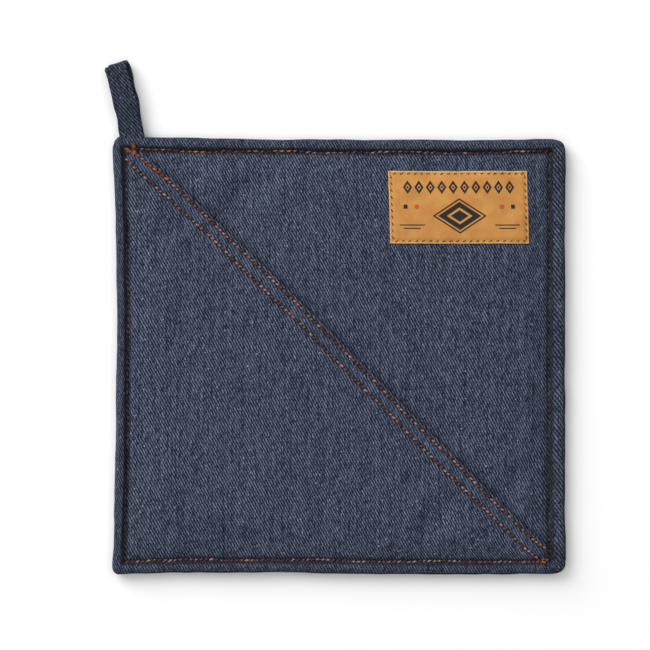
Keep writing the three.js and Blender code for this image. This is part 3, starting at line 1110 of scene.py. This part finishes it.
def threads_between(name, starts, ends, material):
    """Short threads over the front's face, from each start to each end."""
    starts, ends = np.array(starts), np.array(ends)
    share = np.linspace(0, 1, stitch_steps)
    place = starts[:, None] + (ends - starts)[:, None] * share[:, None]
    paths = front_face(outside_place(place.reshape(-1, 2))).reshape(len(starts), stitch_steps, 3)
    paths[..., 2] += 0.75 * np.sin(math.pi * share) ** 0.5 - 0.4
    along = unit(ends - starts)
    across = np.column_stack([-along[:, 1], along[:, 0], np.zeros(len(along))])
    radius = np.full(len(starts), needle_thread_radius)
    return make_piece(name, *twisted_stitches(paths, across, radius, np.arange(len(starts))), material)


def tack_stitches(material, knot_material):
    """Dense satin threads across a short bar on the rim, and knots of thread where the rows begin and end."""
    centre = (tack_high + tack_low)[:2] / 2 - (0, 0.7)
    length = tack_high[1] - tack_low[1] + 0.6
    width = 1.5
    wraps = 13
    random = np.random.default_rng(91)
    starts, ends = [], []
    for k in range(wraps):
        y = centre[1] + length * (k / (wraps - 1) - 0.5)
        lean = 0.35 * (-1) ** k
        reach = width / 2 * random.uniform(0.8, 1.15)
        starts.append((centre[0] - reach, y - lean))
        ends.append((centre[0] + reach, y + lean))
    for knot, count in ((top_left + (1.8, -0.9), 9), (bottom_right + (-2.4, 0.1), 6)):
        for k in range(count):
            middle = knot + random.uniform(-1, 1, 2) * (1.3, 0.9)
            heading = random.uniform(-0.6, 0.6)
            half = random.uniform(0.7, 1.1) * np.array([math.cos(heading), math.sin(heading)])
            starts.append(middle - half)
            ends.append(middle + half)
    tack = threads_between("tack_stitches", starts, ends, material)
    paint_stitches(tack, knot_material, wraps, len(starts))
    return tack


# ---- patch ----

def patch_plane(local):
    """Places on the patch, measured from its middle, carried to the pad's plane."""
    lean = np.outer(local[:, 1], (-patch_lean / (2 * patch_half[1]), 0))
    return patch_centre + (0, patch_rise) + local * (1, patch_stretch) + lean


def patch_press(place):
    """The patch presses the padded field down a little under it."""
    outside = np.max(np.abs(place - patch_centre) - patch_half, axis=1)
    return 0.3 * (1 - ease(outside, -1, 4))


def patch_rest(place):
    """Height of the padded field that the patch bridges, without the small unevenness of its cloth."""
    return middle_z + field_height(place) + Swell.at(place) - patch_press(place) + board_gap


def patch_face(place):
    """The patch's upper face over places in the pad's plane."""
    return front_point(place, "upper") + (0, 0, board_top)


def patch_rows():
    """The four rows that hold the patch, in the pad's plane."""
    corners = patch_plane(corner_signs * (patch_half - patch_stitch_inset))
    return ring_rows(corners, patch_pitch, 61, 0.06)


def patch_board(material, rows):
    """The leather board, with a slightly rough cut edge and a dimple under each stitch."""
    spacing = 0.55
    local, quads = grid_of(*(np.linspace(-h, h, math.ceil(2 * h / spacing) + 1) for h in patch_half))
    edge = patch_half - np.abs(local)
    near = np.min(edge, axis=1)
    rough = bumps(local, 0.08, 1.6, 71) + bumps(local, 0.05, 0.9, 72)
    place = patch_plane(local + np.sign(local) * (rough * dip(near, 0.5))[:, None] * (edge < 0.3))
    top = board_top - board_rounding * dip(near, 0.3) - board_dimple * all_sink(rows, place)
    layers = (np.column_stack([warp_plane(place), patch_rest(place) + rise]) for rise in (top, board_gap))
    return make_piece("patch_board", *close_layers(*layers, quads, local), material)


# ---- hanging loop ----

def arc(centre, radius, start, end, count):
    """Points round an arc in the strip's section, without its two ends."""
    angles = np.linspace(start, end, count)[1:-1]
    return [(centre[0] + radius * math.cos(a), centre[1] + radius * math.sin(a)) for a in angles]


def strip_section():
    """The folded strip's centre line: two plies turned over at the left and right, one edge left inside."""
    heights = [strip_cloth * (k + 0.5) for k in range(3)]
    left, right = strip_cloth, strip_width - strip_cloth
    quarter = math.pi / 2
    return np.array([
        *((w, heights[1]) for w in np.linspace(inner_ply_edge, left, 8)),
        *arc((left, strip_cloth), strip_cloth / 2, quarter, 3 * quarter, 7),
        *((w, heights[0]) for w in np.linspace(left, right, 16)),
        *arc((right, heights[1]), strip_cloth, -quarter, quarter, 9),
        *((w, heights[2]) for w in np.linspace(right, top_ply_edge, 15)),
    ])


def section_outline():
    """The section's outline round its cloth's thickness, with the distance along the cloth at each point."""
    centre = strip_section()
    run = run_along(centre)
    slope = np.gradient(centre, run, axis=0)
    normal = np.column_stack([-slope[:, 1], slope[:, 0]])
    half = 0.46 * strip_cloth  # leaves a little air between the plies
    blunt = 0.8 * half
    end = centre[-1] + slope[-1] * blunt
    start = centre[0] - slope[0] * blunt
    outline = np.vstack([centre + normal * half, end, (centre - normal * half)[::-1], start])
    return outline, np.concatenate([run, [run[-1] + half], run[::-1], [-half]])


def loop_axis(out):
    """Middle of the upper leg in the plane, at a distance out from the hinge line."""
    x = loop_hinge[0] + loop_offset + loop_lean * out + loop_curl * out ** 2
    return np.column_stack([x, loop_hinge[1] + out])


def loop_path():
    """Stations along the strip: distance out from the hinge, height over the middle, and sideways shift."""
    reach = loop_tip_y - loop_hinge[1] - loop_tip_round
    start = pad_half[1] - loop_root_depth - loop_hinge[1]
    leg = np.linspace(start, reach, 34)
    rest = strip_thickness / 2 + 0.05
    wide = loop_gap / 2 + strip_thickness / 2
    height = rest + (wide - rest) * ease(leg, *loop_flare)
    shift = 1.2 * ease(leg, 2, 16) + 0.9 * ease(leg, 20, reach)
    turn = np.linspace(-math.pi / 2, math.pi / 2, 16)[1:-1]
    tip = [reach + wide * np.cos(turn), wide * np.sin(turn), shift[-1] * (1 - np.sin(turn)) / 2]
    lower = [leg, -height, shift]
    upper = [leg[::-1], height[::-1], 0 * leg]
    return np.hstack([lower, tip, upper])


def loop_strip(material):
    """The folded strip, doubled over into a loop, and the length and width of its cloth."""
    out, height, shift = loop_path()
    centre = np.column_stack([loop_axis(out) + np.outer(shift, (1, 0)), middle_z + height])
    ahead = unit(loop_axis(out + 0.5) - loop_axis(out - 0.5))
    side = np.column_stack([ahead[:, 1], -ahead[:, 0], np.zeros(len(ahead))])
    outward = unit(np.cross(unit(np.gradient(centre, axis=0)), side))
    outline, distance = section_outline()
    run = run_along(centre)
    wide, deep = (outline - (strip_width / 2, strip_thickness / 2)).T
    widen = 1 + 0.1 * dip(out, 12)
    spread = np.column_stack([np.repeat(run, len(wide)), np.tile(distance * 1.7, len(run))]) - 60
    bump = (bumps(spread, 0.08, 2.6, 81) + bumps(spread, 0.06, 6, 82)).reshape(len(run), len(wide))
    edge_wave = 0.18 * np.sin(run / 3.1) + 0.12 * np.sin(run / 1.7)
    sideways = np.outer(widen, wide) + np.outer(edge_wave, np.sign(wide) * (np.abs(wide) > 4))
    points = centre[:, None] + side[:, None] * sideways[..., None]
    points += outward[:, None] * (deep + bump)[..., None]
    faces = tube_faces(np.arange(bump.size).reshape(bump.shape))
    uv = np.column_stack([np.tile(distance, len(run)), np.repeat(run, len(wide))])
    piece = make_piece("loop_strip", points.reshape(-1, 3), faces, uv, material)
    turn_faces_out(piece)
    return piece, (distance.max() * MM, run[-1] * MM)


def turn_faces_out(piece):
    work = bmesh.new()
    work.from_mesh(piece.data)
    bmesh.ops.recalc_face_normals(work, faces=work.faces)
    work.to_mesh(piece.data)
    work.free()


# ---- studio ----

def camera():
    """Straight above, a little left of the pad's middle and above it, with a long lens."""
    distance = 1.6
    frame_width = 0.3188
    sensor = 36.0
    data = bpy.data.cameras.new("camera")
    data.sensor_width = sensor
    data.lens = sensor * distance / frame_width
    data.clip_end = 10
    thing = bpy.data.objects.new("camera", data)
    bpy.context.scene.collection.objects.link(thing)
    thing.location = (-0.00785, 0.0152, distance + 2 * field_rise * MM)
    bpy.context.scene.camera = thing


def area_light(name, place, size, energy):
    """An even rectangular light that faces the middle of the pad."""
    light = bpy.data.lights.new(name, "AREA")
    light.shape = "RECTANGLE"
    light.size, light.size_y = size
    light.energy = energy
    lamp = bpy.data.objects.new(name, light)
    bpy.context.scene.collection.objects.link(lamp)
    lamp.location = place
    lamp.rotation_euler = Vector(place).to_track_quat("Z", "Y").to_euler()


def studio():
    """A pale floor just under the pad, a wide light overhead and a softer one from the upper left."""
    reach = 2500
    corners = np.column_stack([reach * corner_signs, np.zeros(4)])
    floor = make_piece("floor", corners, [[3, 2, 1, 0]], None, paper_white())
    floor.location.z = -0.05 * MM
    area_light("ceiling", (-0.2, 0.2, 1.8), (4.3, 4.0), 59)
    area_light("key", (-2.9, 3.0, 2.6), (3.6, 3.6), 195)
    world = bpy.data.worlds.new("studio")
    world.use_nodes = True
    background = world.node_tree.nodes["Background"]
    background.inputs["Color"].default_value = (1, 1, 1, 1)
    background.inputs["Strength"].default_value = 0.08
    bpy.context.scene.world = world
    bpy.context.scene.view_settings.view_transform = "Standard"


# ---- the whole pot holder ----

camera()
studio()
simulate_swell()

indigo = srgb(17, 25, 42), srgb(116, 126, 150), srgb(21, 27, 42), srgb(200, 206, 212)
front_cloth = denim("denim_front", *indigo, edged=True, seamed=True)
back_cloth = denim("denim_back", *indigo, edged=True)
loop_cloth = denim("denim_loop", srgb(14, 20, 34), srgb(94, 102, 121), srgb(18, 23, 35), srgb(180, 186, 194))
copper = thread_material("copper_thread", srgb(66, 36, 26), srgb(184, 116, 78))
faded_copper = thread_material("faded_copper_thread", srgb(60, 34, 35), srgb(172, 130, 120))
# painted shade: a darker copy of the copper thread, for the edge rows that lie deep in the side creases
shaded_copper = thread_material("shaded_copper_thread", srgb(30, 22, 24), srgb(92, 66, 66))
bright_copper = thread_material("bright_copper_thread", srgb(92, 42, 24), srgb(190, 106, 62))
knot_copper = thread_material("knot_copper_thread", srgb(62, 34, 24), srgb(166, 108, 68))
brown = thread_material("patch_thread", srgb(84, 48, 26), srgb(150, 98, 56))
undyed = thread_material("undyed_thread", srgb(138, 130, 116), srgb(190, 184, 170))

upper_lines = [fold_across, fold_across + 0.5, fold_across + 1]
lower_end = fold_across + (math.pi - 1) * open_fold_radius + fold_under
front_upper = front_panel("upper", upper_underlap, beyond_pad, upper_lines, front_cloth)
front_lower = front_panel("lower", -beyond_pad, lower_end, seam_lines(), front_cloth)
back = back_panel(back_cloth)
filling = wadding(fleece())
holding_rows = patch_rows()
patch = patch_board(leather_board(), holding_rows)
strip, strip_flat = loop_strip(loop_cloth)

edge_front = edge_stitches(copper, faded_copper, shaded_copper)
edge_back = stitch_piece("edge_stitches_back", edge_rows.values(), back_point, -1, copper, 0.2, 0.4)
seam_upper = upper_seam_stitches(faded_copper, bright_copper)
seam_lower = stitch_piece("seam_stitches_lower", [seam_rows["lower"]], front_face, 1, faded_copper, 0.26)
patch_stitches = stitch_piece("patch_stitches", holding_rows, patch_face, 1, brown, 0.0, 0.4,
                              patch_thread_radius, hidden=0.6)
bobbins_upper, bobbins_lower, patch_bobbins = (
    stitch_piece(name, rows, under_front, -1, undyed, 0.1, 0.1, bobbin_thread_radius)
    for name, rows in (
        ("seam_bobbins_upper", [seam_rows["upper"]]),
        ("seam_bobbins_lower", [seam_rows["lower"]]),
        ("patch_bobbins", holding_rows),
    ))
closing = closing_stitches(undyed)
tack = tack_stitches(bright_copper, knot_copper)

pad_pieces = (
    (front_upper, "denim_front", "front_panel_upper"),
    (front_lower, "denim_front", "front_panel_lower"),
    (back, "denim_back", "back_panel"),
    (filling, "wadding", "wadding"),
    (patch, "patch", "leather_patch"),
    (edge_front, "copper_thread", "edge_needle_thread"),
    (edge_back, "copper_thread", "edge_bobbin_thread"),
    (seam_upper, "copper_thread", "seam_needle_thread_upper"),
    (seam_lower, "copper_thread", "seam_needle_thread_lower"),
    (patch_stitches, "patch_thread", "patch_needle_thread"),
    (bobbins_upper, "pale_thread", "seam_bobbin_thread_upper"),
    (bobbins_lower, "pale_thread", "seam_bobbin_thread_lower"),
    (patch_bobbins, "pale_thread", "patch_bobbin_thread"),
    (closing, "pale_thread", "closing_seam_thread"),
    (tack, "copper_thread", "loop_bar_tack"),
)
for piece, slot, node in pad_pieces:
    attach(piece, "pad")
    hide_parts(node)

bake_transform(strip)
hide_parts("hanging_loop", "loop_tail")
